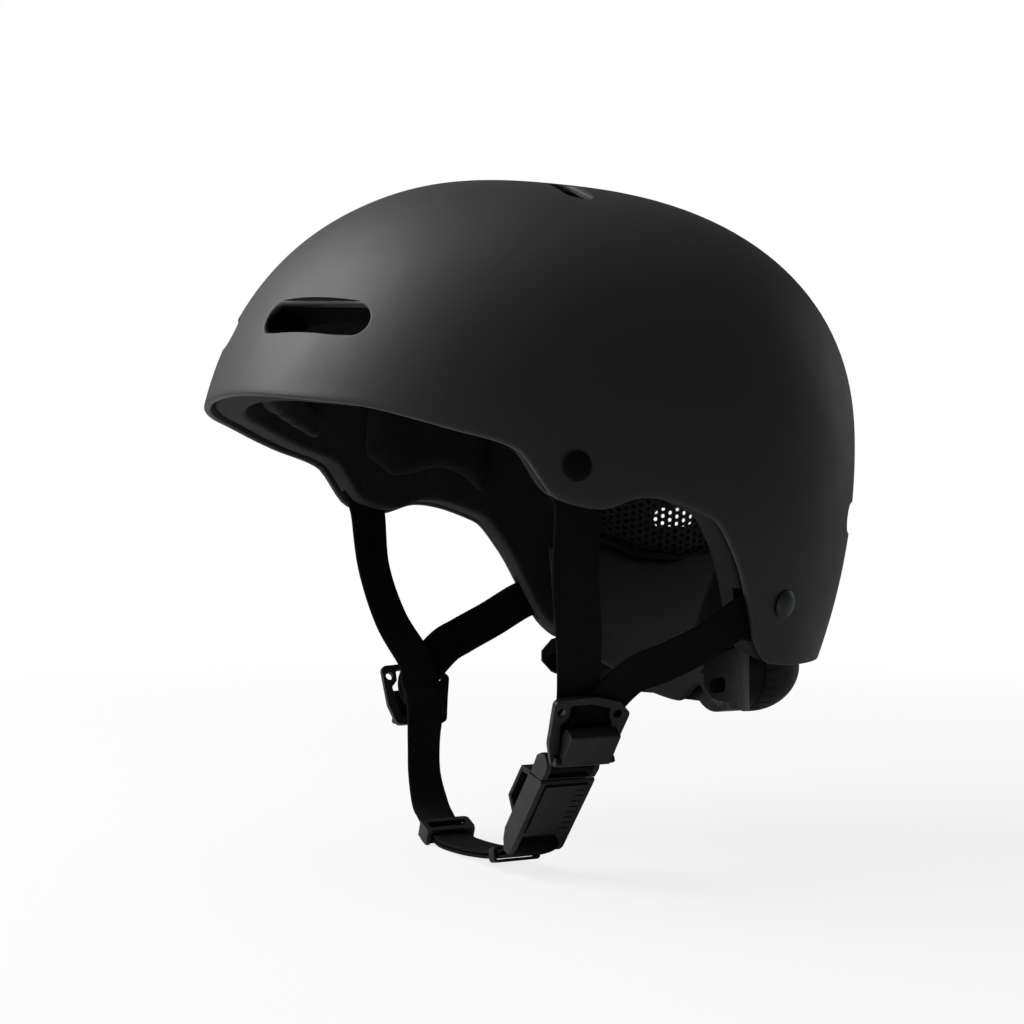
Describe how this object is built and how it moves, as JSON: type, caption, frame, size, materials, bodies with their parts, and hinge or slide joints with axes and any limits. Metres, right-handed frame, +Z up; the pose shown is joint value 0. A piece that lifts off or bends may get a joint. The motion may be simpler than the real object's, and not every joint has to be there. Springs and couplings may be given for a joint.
{
  "type": "water sports helmet",
  "caption": "Matt black hard-shell water sports helmet with vent slots, foam liner, webbing harness, side dividers, sliding magnetic chin buckle and a turning nape dial.",
  "frame": {"origin": "centre of the crown pad's flat underside, where the top of the head rests", "axes": "+X towards the wearer's left, -Y forwards, +Z up; the shell's edge lies below the origin"},
  "size_m": [0.2274, 0.2815, 0.2935],
  "materials": {
    "black_shell": "soft matt black, faintly pebbled",
    "black_foam": "matt closed-cell foam",
    "black_fabric": "brushed black fabric over soft foam",
    "black_webbing": "woven black webbing",
    "black_plastic": "satin black moulded plastic",
    "black_rubber": "matt black rubber",
    "dark_metal": "dark satin coated metal",
    "steel": "plain stainless steel"
  },
  "bodies": {
    "helmet": {"brow_pad": "black_fabric", "buckle_upper_half": "black_plastic", "chin_strap": "black_webbing", "chin_strap_tail": "black_webbing", "click_spring": "steel", "crown_pad": "black_fabric", "dial_cover": "black_plastic", "dial_housing": "black_plastic", "foam_liner": "black_foam", "housing_screw_1": "steel", "housing_screw_2": "steel", "left_front_rivet": "dark_metal", "left_front_strap": "black_webbing", "left_front_washer": "steel", "left_lever_pin": "steel", "left_rear_rivet": "dark_metal", "left_rear_strap": "black_webbing", "left_rear_washer": "steel", "left_side_pad": "black_fabric", "left_strap_divider": "black_plastic", "mesh_pad_binding": "black_fabric", "nape_pad": "black_fabric", "outer_shell": "black_shell", "rear_mesh_pad": "black_fabric", "right_front_rivet": "dark_metal", "right_front_strap": "black_webbing", "right_front_washer": "steel", "right_lever_pin": "steel", "right_rear_rivet": "dark_metal", "right_rear_strap": "black_webbing", "right_rear_washer": "steel", "right_side_pad": "black_fabric", "right_strap_divider": "black_plastic", "upper_magnet": "steel"},
    "dial": {"dial_knob": "black_rubber", "dial_pinion": "steel"},
    "left_band": {"left_cradle_band": "black_plastic"},
    "right_band": {"right_cradle_band": "black_plastic"},
    "left_lever": {"left_divider_lever": "black_plastic"},
    "right_lever": {"right_divider_lever": "black_plastic"},
    "lower_buckle": {"buckle_lower_body": "black_plastic", "buckle_front_panel": "black_plastic", "lower_magnet": "steel", "buckle_finger_loop": "black_rubber", "chin_strap_loop": "black_webbing"},
    "slider": {"strap_slider": "black_plastic"},
    "keeper": {"strap_keeper": "black_rubber"}
  },
  "joints": [
    {"name": "dial_turn", "type": "hinge", "parent": "helmet", "child": "dial", "pos_m": [0, 0.1135, -0.1854], "axis": [0, 1, 0], "range_deg": [-180, 180]},
    {"name": "left_band_travel", "type": "hinge", "parent": "helmet", "child": "left_band", "pos_m": [0, 0.028, -0.1854], "axis": [0, 0, 1], "range_deg": [-7.6, 7.6]},
    {"name": "right_band_travel", "type": "hinge", "parent": "helmet", "child": "right_band", "pos_m": [0, 0.028, -0.1854], "axis": [0, 0, 1], "range_deg": [-7.6, 7.6]},
    {"name": "left_lever_open", "type": "hinge", "parent": "helmet", "child": "left_lever", "pos_m": [0.08208, -0.0147, -0.21238], "axis": [0, 1, 0], "range_deg": [0, 70]},
    {"name": "right_lever_open", "type": "hinge", "parent": "helmet", "child": "right_lever", "pos_m": [-0.08208, -0.0147, -0.21238], "axis": [0, -1, 0], "range_deg": [0, 70]},
    {"name": "buckle_release", "type": "slide", "parent": "helmet", "child": "lower_buckle", "axis": [0, -1, 0], "range_m": [0, 0.024]},
    {"name": "slider_travel", "type": "hinge", "parent": "helmet", "child": "slider", "pos_m": [-0.029, -0.0147, -0.2072], "axis": [0, 1, 0], "range_deg": [-9, 6]},
    {"name": "keeper_travel", "type": "slide", "parent": "lower_buckle", "child": "keeper", "axis": [-0.9816, 0, -0.1908], "range_m": [0, 0.006]}
  ],
  "couplings": [
    {"joint": "left_band_travel", "follows": "dial_turn", "ratio": -0.041494},
    {"joint": "right_band_travel", "follows": "dial_turn", "ratio": 0.041494}
  ]
}
